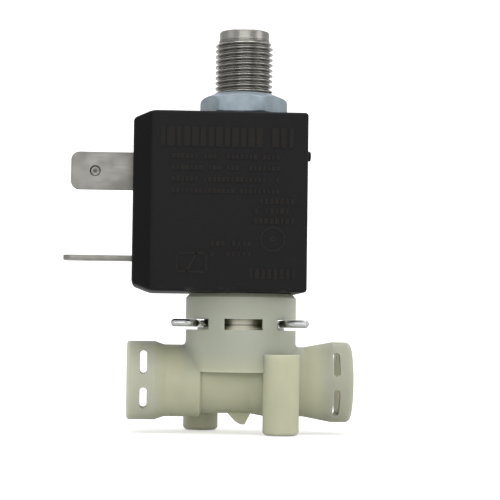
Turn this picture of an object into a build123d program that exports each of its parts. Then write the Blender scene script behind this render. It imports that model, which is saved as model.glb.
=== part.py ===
from build123d import *
import os
from math import pi

# A small 3/2-way solenoid valve for hot-water and coffee machines.
# Units are millimetres. The valve axis is Z. The origin is on that axis, in the plane of the two
# screw bosses' lower faces. +X points to the outlet port and -Y is the front, with the windows.

# ---------------------------------------------------------------- driving dimensions
PORT_Z = 8.58           # height of the two ports' common axis
PORT_LEFT_X = -19.1     # mouth of the inlet port
PORT_RIGHT_X = 18.6     # mouth of the outlet port
LEFT_COLLAR_R = 6.6
RIGHT_COLLAR_R = 6.75
RUN_R = 6.05            # the moulded run between a collar and the tower
WAIST_R = 5.4           # the run under the tower
NECK_RUN_R = 5.85       # the run between the tower and the flared outlet
SOCKET_R = 4.6          # socket for a spigot with an O-ring
SOCKET_DEPTH = 7.0
NOSE_R = 3.6            # pocket for the spigot's nose
NOSE_DEPTH = 3.0
PASSAGE_R = 1.5
RISER_R = 1.1           # the two upright passages
OUTLET_RISER_X = 4.3
CLIP_SLOT_WIDTH = 1.15  # slot for the fitting's fork, across the port
CLIP_SLOT_INSET = 2.8   # from the mouth to the slot's middle
CLIP_SLOT_NEAR = 1.1    # the slot's inner end, from the port axis
LEFT_SLOT_ENDS = (5.0, 4.6)   # outer ends of the upper and lower slots
RIGHT_SLOT_ENDS = (5.0, 5.5)

TOWER_R = 9.3
TOWER_BOTTOM_Z = 10.2
TOWER_TOP_Z = 23.3
TOWER_BORE_R = 7.45
CHAMBER_R = 5.8
CHAMBER_FLOOR_Z = 11.4
SEAT_Z = 13.2           # top of the inlet nozzle
ORING_FLOOR_Z = 14.7
WINDOW_LOW_Z = 17.2
WINDOW_HIGH_Z = 19.0
WINDOW_HALF = 3.15      # half width of the middle window
SIDE_SLOT_X = 5.7       # inner edge of the wire clip's slots

BOSS_X = 6.35           # the bosses stand diagonally, at (BOSS_X, -BOSS_Y) and (-BOSS_X, BOSS_Y)
BOSS_Y = 8.0
BOSS_R = 3.0
BOSS_TOP_Z = 13.2
SCREW_HOLE_R = 1.3
SCREW_HOLE_DEPTH = 9.0

TUBE_R = 4.9            # armature tube
TUBE_BORE_R = 4.5
TUBE_TOP_Z = 50.4
CUP_R = 6.2             # the tube's widened foot, gripped by the wire clip
CUP_BORE_R = 5.7
CUP_CEILING_Z = 20.8
FLANGE_R = 7.35
FLANGE_LOW_Z = 16.2
FLANGE_HIGH_Z = 17.6
BEAD_R = 6.34           # a low bead on the flange, with a groove above it
BEAD_HIGH_Z = 17.9
GROOVE_R = 5.95
GROOVE_T = 0.22

STROKE = 1.5
PLUNGER_R = 4.42
PLUNGER_LOW_Z = 13.4
PLUNGER_TOP_Z = 33.6
COLLAR_R = 5.2
COLLAR_TOP_Z = 14.6
NECK_R = 3.6
NECK_TOP_Z = 19.6
STOP_GAP = 0.02         # left between plunger and core at full stroke
SEAT_GAP = 0.02         # left between the lower seal and the inlet nozzle at rest
CORE_FACE_Z = PLUNGER_TOP_Z + STROKE + STOP_GAP
NOZZLE_DROP = 0.5       # the exhaust nozzle's lip below the core's face
UPPER_SEAL_TOP_Z = CORE_FACE_Z - NOZZLE_DROP - STROKE - 0.01

THREAD_PITCH = 0.907    # G 1/8
THREAD_MAJOR_R = 4.864
THREAD_MINOR_R = 4.283
THREAD_CREST = 0.12     # width of the flat on each crest
THREAD_LOW_Z = 51.3
RIDGE_COUNT = 16
NOSE_TOP_R = 4.22       # plain lead above the thread
NOSE_LOW_Z = 66.1
STUD_TOP_Z = 67.75
NOSE_BREAK = 0.2        # chamfer round the stud's end

WASHER_T = 0.5
NUT_FLATS = 13.0
NUT_TURN = -8.0          # the first corner, in degrees from X towards Y
NUT_T = 3.65
NUT_SHOULDER_T = 2.65   # where the sides would meet the domed top
NUT_SHOULDER_ROUND = 1.0
NUT_TOP_R = 5.1

COIL_LOW_Z = 23.4
COIL_HIGH_Z = 52.9
COIL_RIGHT_X = 10.1
COIL_SHOULDER_X = -15.4  # where the bevelled terminal end starts
COIL_LEFT_X = -18.5
COIL_HALF_Y = 12.0
BEVEL_Y = 1.9
BEVEL_Z = 1.15
COIL_BORE_R = 5.15
YOKE_T = 1.5
YOKE_HALF_X = 8.0
YOKE_HALF_Y = 10.6
YOKE_LOW_Z = 24.6
YOKE_HIGH_Z = 51.7
BUSH_R = 5.75
BUSH_LOW_END_Z = 32.0
BUSH_HIGH_END_Z = 44.0
BOBBIN_BORE_R = 5.8
BOBBIN_R = 6.5
BOBBIN_FLANGE_R = 8.85
BOBBIN_FLANGE_T = 1.0
WINDING_R = 8.6
TAPE_R = 8.75
BLOCK_X = -12.4         # bobbin's terminal block
BLOCK_HALF_Y = 6.2

TAB_WIDTH = 6.3
TAB_T = 0.8
TAB_ROOT_X = -11.0
UPPER_TAB_TIP_X = -28.8
LOWER_TAB_TIP_X = -30.0
UPPER_TAB_Y = -5.0      # the upper blade stands towards the front
UPPER_TAB_Z = 43.3
LOWER_TAB_Z = 29.0
TAB_DIMPLE_R = 0.9
TAB_DIMPLE_DEPTH = 0.55
TAB_DIMPLE_INSET = 4.0

CLIP_WIRE_R = 0.63
CLIP_Z = 18.27
CLIP_LEG_X = 7.35       # half the distance between the wire clip's legs
CLIP_SHIFT_X = -0.3     # the clip sits a little to the left
CLIP_TURN = -2.0        # and a little askew
CLIP_FRONT_Y = -9.4     # its lugs, turned outwards
CLIP_LUG_X = 10.7
CLIP_FLARE_X = 8.3      # the legs spread from CLIP_FLARE_Y forward
CLIP_FLARE_Y = -4.0
CLIP_BEND_R = 1.3

ORING_R = 0.74
ORING_CENTRE_R = 6.55


def save(part, label):
    """Labels one finished piece and writes it as its own STEP file."""
    part.label = label
    export_step(part, f"parts/{label}.step")


def ring_profile(points):
    """A closed outline of (radius, height) points, for turning about the valve axis."""
    with BuildSketch(Plane.XZ) as outline:
        with BuildLine():
            Polyline(*points, close=True)
        make_face()
    return outline.sketch


os.makedirs("parts", exist_ok=True)

# ---------------------------------------------------------------- moulded body
port_axis = Axis((0, 0, PORT_Z), (1, 0, 0))
run_outline = [
    (PORT_LEFT_X, LEFT_COLLAR_R),
    (-14.4, LEFT_COLLAR_R),
    (-12.8, RUN_R),
    (-7.0, RUN_R),
    (-6.6, WAIST_R),
    (1.5, WAIST_R),
    (4.0, NECK_RUN_R),
    (10.6, NECK_RUN_R),
    (15.4, RIGHT_COLLAR_R),
    (PORT_RIGHT_X, RIGHT_COLLAR_R),
]

with BuildPart() as valve_body:
    # The run: both ports and the waist, turned about the port axis.
    with BuildSketch(Plane.XZ):
        with BuildLine():
            Polyline(
                (PORT_LEFT_X, PORT_Z),
                *[(x, PORT_Z + r) for x, r in run_outline],
                (PORT_RIGHT_X, PORT_Z),
                close=True,
            )
        make_face()
    revolve(axis=port_axis)
    mouths = valve_body.edges().filter_by(GeomType.CIRCLE).sort_by(Axis.X)
    fillet(mouths[0], 0.5)
    mouths = valve_body.edges().filter_by(GeomType.CIRCLE).sort_by(Axis.X)
    fillet(mouths[-1], 0.9)

    # The tower that holds the armature tube.
    with BuildSketch(Plane.XY.offset(TOWER_BOTTOM_Z)):
        Circle(TOWER_R)
    extrude(amount=TOWER_TOP_Z - TOWER_BOTTOM_Z)
    top_rim = valve_body.edges().filter_by(GeomType.CIRCLE).group_by(Axis.Z)[-1]
    chamfer(top_rim, 0.7)
    junctions = valve_body.edges().filter_by(
        lambda edge: TOWER_BOTTOM_Z + 0.2 < edge.center().Z < TOWER_TOP_Z - 2
        and edge.geom_type not in (GeomType.CIRCLE, GeomType.LINE)
    )
    fillet(junctions, 0.6)

    # Two screw bosses on a diagonal, each joined to the run by a web.
    for side in (1, -1):
        with BuildSketch(Plane.XY):
            with Locations((side * BOSS_X, -side * BOSS_Y)):
                Circle(BOSS_R)
        extrude(amount=BOSS_TOP_Z)
        with BuildSketch(Plane.XY.offset(4.0)):
            with Locations((side * BOSS_X, -side * BOSS_Y / 2)):
                Rectangle(3.4, BOSS_Y)
        extrude(amount=7.6)
    foot_rims = valve_body.edges().filter_by(GeomType.CIRCLE).group_by(Axis.Z)[0]
    fillet(foot_rims, 0.7)

    # The keel, a locating lug under the waist.
    with BuildSketch(Plane.XZ):
        with BuildLine():
            Polyline(
                (-2.5, 4.2), (-2.2, 3.3), (-0.8, 1.8), (0.1, 1.35),
                (0.8, 1.35), (1.7, 3.1), (1.9, 4.2), close=True,
            )
        make_face()
    extrude(amount=1.3, both=True)

    # Tower bore, O-ring seat and chamber, with the inlet nozzle left standing.
    with BuildSketch(Plane.XY.offset(ORING_FLOOR_Z)):
        Circle(TOWER_BORE_R)
    extrude(amount=TOWER_TOP_Z - ORING_FLOOR_Z, mode=Mode.SUBTRACT)
    with BuildSketch(Plane.XY.offset(CHAMBER_FLOOR_Z)):
        Circle(CHAMBER_R)
    extrude(amount=ORING_FLOOR_Z - CHAMBER_FLOOR_Z, mode=Mode.SUBTRACT)
    add(ring_profile([(0, CHAMBER_FLOOR_Z - 0.2), (2.4, CHAMBER_FLOOR_Z - 0.2), (1.6, SEAT_Z), (0, SEAT_Z)]))
    revolve(axis=Axis.Z)

    # Inlet: along the port axis, then up through the nozzle. Outlet: down from the chamber floor.
    with BuildSketch(Plane.YZ.offset(PORT_LEFT_X)):
        with Locations((0, PORT_Z)):
            Circle(PASSAGE_R)
    extrude(amount=-PORT_LEFT_X + RISER_R + 0.4, mode=Mode.SUBTRACT)
    with BuildSketch(Plane.XY.offset(PORT_Z)):
        Circle(RISER_R)
    extrude(amount=SEAT_Z - PORT_Z, mode=Mode.SUBTRACT)
    with BuildSketch(Plane.YZ.offset(OUTLET_RISER_X - 1.9)):
        with Locations((0, PORT_Z)):
            Circle(PASSAGE_R)
    extrude(amount=PORT_RIGHT_X - OUTLET_RISER_X + 1.9, mode=Mode.SUBTRACT)
    with BuildSketch(Plane.XY.offset(PORT_Z)):
        with Locations((OUTLET_RISER_X, 0)):
            Circle(RISER_R)
    extrude(amount=CHAMBER_FLOOR_Z - PORT_Z, mode=Mode.SUBTRACT)

    # Each port: spigot socket, nose pocket and the fork's slots right through.
    for mouth_x, inward, slot_ends in (
        (PORT_LEFT_X, 1, LEFT_SLOT_ENDS),
        (PORT_RIGHT_X, -1, RIGHT_SLOT_ENDS),
    ):
        for radius, depth in ((SOCKET_R, SOCKET_DEPTH), (NOSE_R, SOCKET_DEPTH + NOSE_DEPTH)):
            with BuildSketch(Plane.YZ.offset(mouth_x)):
                with Locations((0, PORT_Z)):
                    Circle(radius)
            extrude(amount=inward * depth, mode=Mode.SUBTRACT)
        slot_x = mouth_x + inward * CLIP_SLOT_INSET
        with BuildSketch(Plane.XZ):
            for side, far_end in zip((1, -1), slot_ends):
                with Locations((slot_x, PORT_Z + side * (CLIP_SLOT_NEAR + far_end) / 2)):
                    SlotOverall(far_end - CLIP_SLOT_NEAR, CLIP_SLOT_WIDTH, rotation=90)
        extrude(amount=RIGHT_COLLAR_R + 1, both=True, mode=Mode.SUBTRACT)

    # The tower's windows, front and back, and the side slots for the wire clip.
    window_height = WINDOW_HIGH_Z - WINDOW_LOW_Z
    with BuildSketch(Plane.XY.offset(WINDOW_LOW_Z)):
        with Locations((0, 0)):
            Rectangle(2 * WINDOW_HALF, 2 * TOWER_R + 2)
        for side in (1, -1):
            with Locations((side * (SIDE_SLOT_X + TOWER_R) / 2 + side * 0.5, 0)):
                Rectangle(TOWER_R - SIDE_SLOT_X + 1, 2 * TOWER_R + 2)
    extrude(amount=window_height, mode=Mode.SUBTRACT)

    # Pilot holes for self-tapping screws.
    with BuildSketch(Plane.XY):
        with Locations((BOSS_X, -BOSS_Y), (-BOSS_X, BOSS_Y)):
            Circle(SCREW_HOLE_R)
    extrude(amount=SCREW_HOLE_DEPTH, mode=Mode.SUBTRACT)
save(valve_body.part, "valve_body")

# ---------------------------------------------------------------- armature tube and its seal
with BuildPart() as armature_tube:
    add(ring_profile([
        (CUP_BORE_R, FLANGE_LOW_Z),
        (FLANGE_R, FLANGE_LOW_Z),
        (FLANGE_R, FLANGE_HIGH_Z),
        (BEAD_R, FLANGE_HIGH_Z),
        (BEAD_R, BEAD_HIGH_Z),
        (GROOVE_R, BEAD_HIGH_Z),
        (GROOVE_R, BEAD_HIGH_Z + GROOVE_T),
        (CUP_R, BEAD_HIGH_Z + GROOVE_T),
        (CUP_R, CUP_CEILING_Z + 0.3),
        (CUP_R - 0.4, CUP_CEILING_Z + 0.7),
        (TUBE_R, CUP_CEILING_Z + 0.7),
        (TUBE_R, TUBE_TOP_Z),
        (TUBE_BORE_R, TUBE_TOP_Z),
        (TUBE_BORE_R, CUP_CEILING_Z),
        (CUP_BORE_R, CUP_CEILING_Z),
    ]))
    revolve(axis=Axis.Z)
save(armature_tube.part, "armature_tube")

with BuildPart() as flange_oring:
    with BuildSketch(Plane.XZ):
        with Locations((ORING_CENTRE_R, (ORING_FLOOR_Z + FLANGE_LOW_Z) / 2)):
            Circle(ORING_R)
    revolve(axis=Axis.Z)
save(flange_oring.part, "flange_oring")

# ---------------------------------------------------------------- fixed core with the exhaust stud
RING_GROOVE_IN_R = 3.0
RING_GROOVE_OUT_R = 3.7
RING_GROOVE_DEPTH = 1.6
EXHAUST_R = 1.6
EXHAUST_MOUTH_R = 2.6
EXHAUST_MOUTH_Z = 60.0
ridge_flank = (THREAD_PITCH - 2 * THREAD_CREST) / 2

ridge_points = []
for ridge in range(RIDGE_COUNT):
    crest_z = THREAD_LOW_Z + ridge * THREAD_PITCH
    ridge_points += [
        (THREAD_MINOR_R, crest_z - THREAD_CREST / 2 - ridge_flank),
        (THREAD_MAJOR_R, crest_z - THREAD_CREST / 2),
        (THREAD_MAJOR_R, crest_z + THREAD_CREST / 2),
        (THREAD_MINOR_R, crest_z + THREAD_CREST / 2 + ridge_flank),
    ]

with BuildPart() as fixed_core:
    add(ring_profile([
        (0.9, CORE_FACE_Z - NOZZLE_DROP),
        (1.5, CORE_FACE_Z - NOZZLE_DROP),
        (1.7, CORE_FACE_Z),
        (RING_GROOVE_IN_R, CORE_FACE_Z),
        (RING_GROOVE_IN_R, CORE_FACE_Z + RING_GROOVE_DEPTH),
        (RING_GROOVE_OUT_R, CORE_FACE_Z + RING_GROOVE_DEPTH),
        (RING_GROOVE_OUT_R, CORE_FACE_Z),
        (TUBE_BORE_R - 0.02, CORE_FACE_Z),
        (TUBE_BORE_R - 0.02, TUBE_TOP_Z),
        (THREAD_MINOR_R, TUBE_TOP_Z),
        *ridge_points,
        (THREAD_MINOR_R, NOSE_LOW_Z - 0.1),
        (NOSE_TOP_R, NOSE_LOW_Z),
        (NOSE_TOP_R, STUD_TOP_Z - NOSE_BREAK),
        (NOSE_TOP_R - NOSE_BREAK, STUD_TOP_Z),
        (EXHAUST_MOUTH_R, STUD_TOP_Z),
        (EXHAUST_MOUTH_R, EXHAUST_MOUTH_Z),
        (EXHAUST_R, EXHAUST_MOUTH_Z - 1.0),
        (EXHAUST_R, CORE_FACE_Z + 3.0),
        (0.9, CORE_FACE_Z + 2.6),
    ]))
    revolve(axis=Axis.Z)
save(fixed_core.part, "fixed_core")

with BuildPart() as shading_ring:
    with BuildSketch(Plane.XY.offset(CORE_FACE_Z + 0.03)):
        Circle(RING_GROOVE_OUT_R - 0.04)
        Circle(RING_GROOVE_IN_R + 0.04, mode=Mode.SUBTRACT)
    extrude(amount=RING_GROOVE_DEPTH - 0.06)
save(shading_ring.part, "shading_ring")

# ---------------------------------------------------------------- nut and washer over the coil
washer_z = COIL_HIGH_Z
nut_z = washer_z + WASHER_T
with BuildPart() as nut_washer:
    with BuildSketch(Plane.XY.offset(washer_z)):
        Circle(7.3)
        Circle(5.0, mode=Mode.SUBTRACT)
    extrude(amount=WASHER_T)
save(nut_washer.part, "nut_washer")

nut_top_z = nut_z + NUT_T
nut_turned_r = NUT_FLATS / 3 ** 0.5 - 0.05
with BuildPart() as coil_nut:
    with BuildSketch(Plane.XY.offset(nut_z)):
        RegularPolygon(NUT_FLATS / 2, 6, major_radius=False, rotation=NUT_TURN)
    extrude(amount=NUT_T)
    # A turned dome takes the upper corners off.
    with BuildSketch(Plane.XZ) as dome:
        with BuildLine():
            Polyline(
                (0, nut_z),
                (nut_turned_r, nut_z),
                (nut_turned_r, nut_z + NUT_SHOULDER_T),
                (NUT_TOP_R, nut_top_z),
                (0, nut_top_z),
                close=True,
            )
        make_face()
        shoulder = dome.vertices().sort_by(Axis.X)[-2:].sort_by(Axis.Z)[-1]
        fillet(shoulder, NUT_SHOULDER_ROUND)
    revolve(axis=Axis.Z, mode=Mode.INTERSECT)
    with BuildSketch(Plane.XY.offset(nut_z)):
        Circle(4.9)
    extrude(amount=NUT_T, mode=Mode.SUBTRACT)
save(coil_nut.part, "coil_nut")

# ---------------------------------------------------------------- wire clip through the tower
CLIP_BACK_Y = 10.6
with BuildPart() as retaining_clip:
    half_clip = [
        (CLIP_LUG_X, CLIP_FRONT_Y), (CLIP_FLARE_X, CLIP_FRONT_Y),
        (CLIP_LEG_X, CLIP_FLARE_Y), (CLIP_LEG_X, CLIP_BACK_Y),
    ]
    clip_plane = Plane.XY.offset(CLIP_Z).rotated((0, 0, CLIP_TURN))
    with BuildLine(clip_plane) as clip_route:
        FilletPolyline(
            *[(CLIP_SHIFT_X - x, y) for x, y in half_clip],
            *[(CLIP_SHIFT_X + x, y) for x, y in reversed(half_clip)],
            radius=CLIP_BEND_R,
        )
    with BuildSketch(Plane(origin=clip_route.line @ 0, z_dir=clip_route.line % 0)):
        Circle(CLIP_WIRE_R)
    sweep(path=clip_route.line)
    with Locations(clip_route.line @ 0, clip_route.line @ 1):
        Sphere(CLIP_WIRE_R)
save(retaining_clip.part, "retaining_clip")

# ---------------------------------------------------------------- plunger, seals and springs
LOWER_SEAL_R = 2.5
LOWER_SEAL_TOP_Z = 15.4
SPRING_POCKET_R = 2.45
SPRING_POCKET_LOW_Z = 25.0
SEAL_LIP_Z = 32.82
with BuildPart() as plunger_core:
    add(ring_profile([
        (0, LOWER_SEAL_TOP_Z),
        (LOWER_SEAL_R + 0.03, LOWER_SEAL_TOP_Z),
        (LOWER_SEAL_R + 0.03, PLUNGER_LOW_Z),
        (COLLAR_R, PLUNGER_LOW_Z),
        (COLLAR_R, COLLAR_TOP_Z),
        (NECK_R, COLLAR_TOP_Z),
        (NECK_R, NECK_TOP_Z),
        (PLUNGER_R, NECK_TOP_Z + 0.5),
        (PLUNGER_R, PLUNGER_TOP_Z),
        (1.95, PLUNGER_TOP_Z),
        (1.95, SEAL_LIP_Z),
        (SPRING_POCKET_R, SEAL_LIP_Z),
        (SPRING_POCKET_R, SPRING_POCKET_LOW_Z),
        (0, SPRING_POCKET_LOW_Z),
    ]))
    revolve(axis=Axis.Z)
    # Four flutes let water past the plunger to the exhaust.
    with BuildSketch(Plane.XY.offset(COLLAR_TOP_Z)):
        with PolarLocations(PLUNGER_R, 4, start_angle=45):
            Rectangle(1.6, 1.6)
    extrude(amount=PLUNGER_TOP_Z - COLLAR_TOP_Z, mode=Mode.SUBTRACT)
save(plunger_core.part, "plunger_core")

with BuildPart() as lower_seal:
    with BuildSketch(Plane.XY.offset(SEAT_Z + SEAT_GAP)):
        Circle(LOWER_SEAL_R)
    extrude(amount=LOWER_SEAL_TOP_Z - 0.02 - SEAT_Z - SEAT_GAP)
save(lower_seal.part, "lower_seal")

UPPER_SEAL_LOW_Z = 31.6
with BuildPart() as upper_seal:
    add(ring_profile([
        (0, UPPER_SEAL_LOW_Z),
        (SPRING_POCKET_R - 0.05, UPPER_SEAL_LOW_Z),
        (SPRING_POCKET_R - 0.05, SEAL_LIP_Z - 0.02),
        (1.85, SEAL_LIP_Z - 0.02),
        (1.85, UPPER_SEAL_TOP_Z),
        (0, UPPER_SEAL_TOP_Z),
    ]))
    revolve(axis=Axis.Z)
save(upper_seal.part, "upper_seal")


def coil_spring(coil_r, wire_r, low_z, high_z, turns):
    """A round-wire compression spring whose wire lies between two heights."""
    height = high_z - low_z - 2 * wire_r
    route = Helix(pitch=height / turns, height=height, radius=coil_r, center=(0, 0, low_z + wire_r))
    with BuildPart() as spring:
        with BuildSketch(Plane(origin=route @ 0, z_dir=route % 0)):
            Circle(wire_r)
        sweep(path=route, is_frenet=True)
    return spring.part


RETURN_SPRING_R = 4.85
save(coil_spring(RETURN_SPRING_R, 0.25, COLLAR_TOP_Z + 0.05, CUP_CEILING_Z - 0.05, 4.5), "plunger_spring")
save(coil_spring(1.95, 0.2, SPRING_POCKET_LOW_Z + 0.03, UPPER_SEAL_LOW_Z - 0.03, 6), "seal_spring")

# ---------------------------------------------------------------- coil: steel circuit
with BuildPart() as magnet_frame:
    yoke_mid_z = (YOKE_LOW_Z + YOKE_HIGH_Z) / 2
    yoke_height = YOKE_HIGH_Z - YOKE_LOW_Z
    with BuildSketch(Plane.YZ):
        with Locations((0, yoke_mid_z)):
            RectangleRounded(2 * YOKE_HALF_Y, yoke_height, 2.0)
            RectangleRounded(2 * (YOKE_HALF_Y - YOKE_T), yoke_height - 2 * YOKE_T, 0.2, mode=Mode.SUBTRACT)
    extrude(amount=YOKE_HALF_X, both=True)
    with BuildSketch(Plane.XY.offset(YOKE_LOW_Z)):
        Circle(BUSH_R + 0.02)
    extrude(amount=yoke_height, mode=Mode.SUBTRACT)
save(magnet_frame.part, "magnet_frame")

for name, low_z, high_z in (
    ("lower_flux_bush", YOKE_LOW_Z, BUSH_LOW_END_Z),
    ("upper_flux_bush", BUSH_HIGH_END_Z, YOKE_HIGH_Z),
):
    with BuildPart() as flux_bush:
        with BuildSketch(Plane.XY.offset(low_z)):
            Circle(BUSH_R)
            Circle(COIL_BORE_R, mode=Mode.SUBTRACT)
        extrude(amount=high_z - low_z)
    save(flux_bush.part, name)

# ---------------------------------------------------------------- coil: terminals and leads
tab_names = ("upper_terminal", "lower_terminal")
tab_planes = {
    # The upper blade stands upright and the lower one lies flat.
    "upper_terminal": Plane(origin=(0, UPPER_TAB_Y, UPPER_TAB_Z), x_dir=(1, 0, 0), z_dir=(0, -1, 0)),
    "lower_terminal": Plane(origin=(0, 0, LOWER_TAB_Z), x_dir=(1, 0, 0), z_dir=(0, 0, -1)),
}
tab_tips = {"upper_terminal": UPPER_TAB_TIP_X, "lower_terminal": LOWER_TAB_TIP_X}
tabs = {}
for name in tab_names:
    plane, tip_x = tab_planes[name], tab_tips[name]
    with BuildPart() as terminal:
        with BuildSketch(plane.offset(-TAB_T / 2)):
            with Locations(((tip_x + TAB_ROOT_X) / 2, 0)):
                Rectangle(TAB_ROOT_X - tip_x, TAB_WIDTH)
        extrude(amount=TAB_T)
        corners = terminal.edges().filter_by(Axis(origin=(0, 0, 0), direction=plane.z_dir)).group_by(Axis.X)[0]
        fillet(corners, 1.4)
        dimple_x = tip_x + TAB_DIMPLE_INSET
        with BuildSketch(plane.offset(TAB_T / 2)):
            with Locations((dimple_x, 0)):
                Circle(TAB_DIMPLE_R)
        extrude(amount=-TAB_DIMPLE_DEPTH, taper=20, mode=Mode.SUBTRACT)
    tabs[name] = terminal.part
    save(terminal.part, name)

LEAD_R = 0.2
lead_heights = {"start_lead": UPPER_TAB_Z, "finish_lead": LOWER_TAB_Z}
leads = {}
for name, height in lead_heights.items():
    with BuildPart() as lead:
        with BuildSketch(Plane.YZ.offset(TAB_ROOT_X)):
            with Locations((0, height)):
                Circle(LEAD_R)
        extrude(amount=-TAB_ROOT_X - TAPE_R - 0.05)
    leads[name] = lead.part
    save(lead.part, name)

# ---------------------------------------------------------------- coil: bobbin, winding and tape
bobbin_low_z = YOKE_LOW_Z + YOKE_T
bobbin_high_z = YOKE_HIGH_Z - YOKE_T
with BuildPart() as coil_bobbin:
    with BuildSketch(Plane.XY.offset(bobbin_low_z)):
        Circle(BOBBIN_R)
    extrude(amount=bobbin_high_z - bobbin_low_z)
    for flange_z in (bobbin_low_z, bobbin_high_z - BOBBIN_FLANGE_T):
        with BuildSketch(Plane.XY.offset(flange_z)):
            Circle(BOBBIN_FLANGE_R)
            with Locations((BLOCK_X / 2, 0)):
                Rectangle(-BLOCK_X, 2 * BLOCK_HALF_Y)
        extrude(amount=BOBBIN_FLANGE_T)
    # The block between the flanges carries both terminals.
    with BuildSketch(Plane.XY.offset(bobbin_low_z)):
        with Locations(((BLOCK_X - TAPE_R - 0.1) / 2, 0)):
            Rectangle(-BLOCK_X - TAPE_R - 0.1, 2 * BLOCK_HALF_Y)
    extrude(amount=bobbin_high_z - bobbin_low_z)
    with BuildSketch(Plane.XY.offset(bobbin_low_z)):
        Circle(BOBBIN_BORE_R)
    extrude(amount=bobbin_high_z - bobbin_low_z, mode=Mode.SUBTRACT)
    for piece in (*tabs.values(), *leads.values()):
        add(piece, mode=Mode.SUBTRACT)
save(coil_bobbin.part, "coil_bobbin")

winding_low_z = bobbin_low_z + BOBBIN_FLANGE_T
winding_height = bobbin_high_z - BOBBIN_FLANGE_T - winding_low_z
for name, inner_r, outer_r in (
    ("coil_winding", BOBBIN_R, WINDING_R),
    ("winding_tape", WINDING_R, TAPE_R),
):
    with BuildPart() as layer:
        with BuildSketch(Plane.XY.offset(winding_low_z + 0.02)):
            Circle(outer_r - 0.01)
            Circle(inner_r + 0.01, mode=Mode.SUBTRACT)
        extrude(amount=winding_height - 0.04)
    save(layer.part, name)

# ---------------------------------------------------------------- coil: black moulding
coil_mid_z = (COIL_LOW_Z + COIL_HIGH_Z) / 2
coil_height = COIL_HIGH_Z - COIL_LOW_Z
NUB_R = 0.85
NUB_Z = 46.8
NUB_LENGTH = 1.45
with BuildPart() as coil_moulding:
    with BuildSketch(Plane.YZ.offset(COIL_SHOULDER_X)):
        with Locations((0, coil_mid_z)):
            Rectangle(2 * COIL_HALF_Y, coil_height)
    extrude(amount=COIL_RIGHT_X - COIL_SHOULDER_X)
    fillet(coil_moulding.edges().filter_by(Axis.Z).group_by(Axis.X)[-1], 0.8)
    with BuildSketch(Plane.YZ.offset(COIL_SHOULDER_X)):
        with Locations((0, coil_mid_z)):
            Rectangle(2 * COIL_HALF_Y, coil_height)
    with BuildSketch(Plane.YZ.offset(COIL_LEFT_X)):
        with Locations((0, coil_mid_z)):
            Rectangle(2 * (COIL_HALF_Y - BEVEL_Y), coil_height - 2 * BEVEL_Z)
    loft()
    fillet(coil_moulding.edges().group_by(Axis.X)[0], 0.7)
    # A gate nub on the face opposite the terminals.
    with BuildSketch(Plane.YZ.offset(COIL_RIGHT_X - 0.2)):
        with Locations((0, NUB_Z)):
            Circle(NUB_R)
    extrude(amount=NUB_LENGTH + 0.2)
    fillet(coil_moulding.edges().filter_by(GeomType.CIRCLE).sort_by(Axis.X)[-1], 0.5)
    # The resin lies close round everything that it encapsulates.
    with BuildSketch(Plane.XY.offset(COIL_LOW_Z)):
        Circle(COIL_BORE_R)
    extrude(amount=coil_height, mode=Mode.SUBTRACT)
    with BuildSketch(Plane.XY.offset(YOKE_LOW_Z)):
        Circle(BUSH_R + 0.02)
    extrude(amount=YOKE_HIGH_Z - YOKE_LOW_Z, mode=Mode.SUBTRACT)
    with BuildSketch(Plane.XY.offset(bobbin_low_z)):
        Circle(BOBBIN_FLANGE_R)
        with Locations((BLOCK_X / 2, 0)):
            Rectangle(-BLOCK_X, 2 * BLOCK_HALF_Y)
    extrude(amount=bobbin_high_z - bobbin_low_z, mode=Mode.SUBTRACT)
    add(magnet_frame.part, mode=Mode.SUBTRACT)
    for piece in tabs.values():
        add(piece, mode=Mode.SUBTRACT)
save(coil_moulding.part, "coil_moulding")
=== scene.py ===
# %% [markdown]
# # A small solenoid valve, dressed for a studio picture
# The engineering model of the valve is loaded first and stays fixed. This lesson gives each visible
# piece its finish: the translucent moulded body, the black encapsulated coil, the turned stainless
# stud with its thread, the zinc-plated nut, the wire clip and the blade terminals. Pieces whose shape
# gains from finer detail are made again here, and stand in for their engineering shapes.

# %% Load the engineering model
import math

import bmesh
import bpy
from mathutils import Matrix, Vector


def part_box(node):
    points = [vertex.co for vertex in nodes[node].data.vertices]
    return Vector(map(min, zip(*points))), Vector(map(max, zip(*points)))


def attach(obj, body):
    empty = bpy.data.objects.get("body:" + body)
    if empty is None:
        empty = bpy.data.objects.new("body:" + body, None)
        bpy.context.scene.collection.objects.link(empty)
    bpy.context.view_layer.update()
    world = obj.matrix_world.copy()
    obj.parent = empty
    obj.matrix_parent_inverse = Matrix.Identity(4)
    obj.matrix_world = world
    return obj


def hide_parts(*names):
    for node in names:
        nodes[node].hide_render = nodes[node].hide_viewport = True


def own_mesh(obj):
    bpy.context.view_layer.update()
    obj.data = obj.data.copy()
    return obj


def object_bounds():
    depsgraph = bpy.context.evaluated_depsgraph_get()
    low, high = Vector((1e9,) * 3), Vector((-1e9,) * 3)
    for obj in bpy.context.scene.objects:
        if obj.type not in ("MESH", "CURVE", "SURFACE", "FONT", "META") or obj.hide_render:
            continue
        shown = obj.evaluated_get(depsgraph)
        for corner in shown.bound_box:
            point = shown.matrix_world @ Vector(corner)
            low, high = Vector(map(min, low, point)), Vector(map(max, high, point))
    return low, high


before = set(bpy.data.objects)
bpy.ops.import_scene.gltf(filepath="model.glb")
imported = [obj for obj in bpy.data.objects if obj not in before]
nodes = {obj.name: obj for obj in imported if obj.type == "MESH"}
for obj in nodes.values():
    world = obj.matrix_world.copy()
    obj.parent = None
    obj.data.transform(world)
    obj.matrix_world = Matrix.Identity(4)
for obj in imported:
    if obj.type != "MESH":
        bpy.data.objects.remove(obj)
cad_low, cad_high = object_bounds()
MM = 0.001

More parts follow.
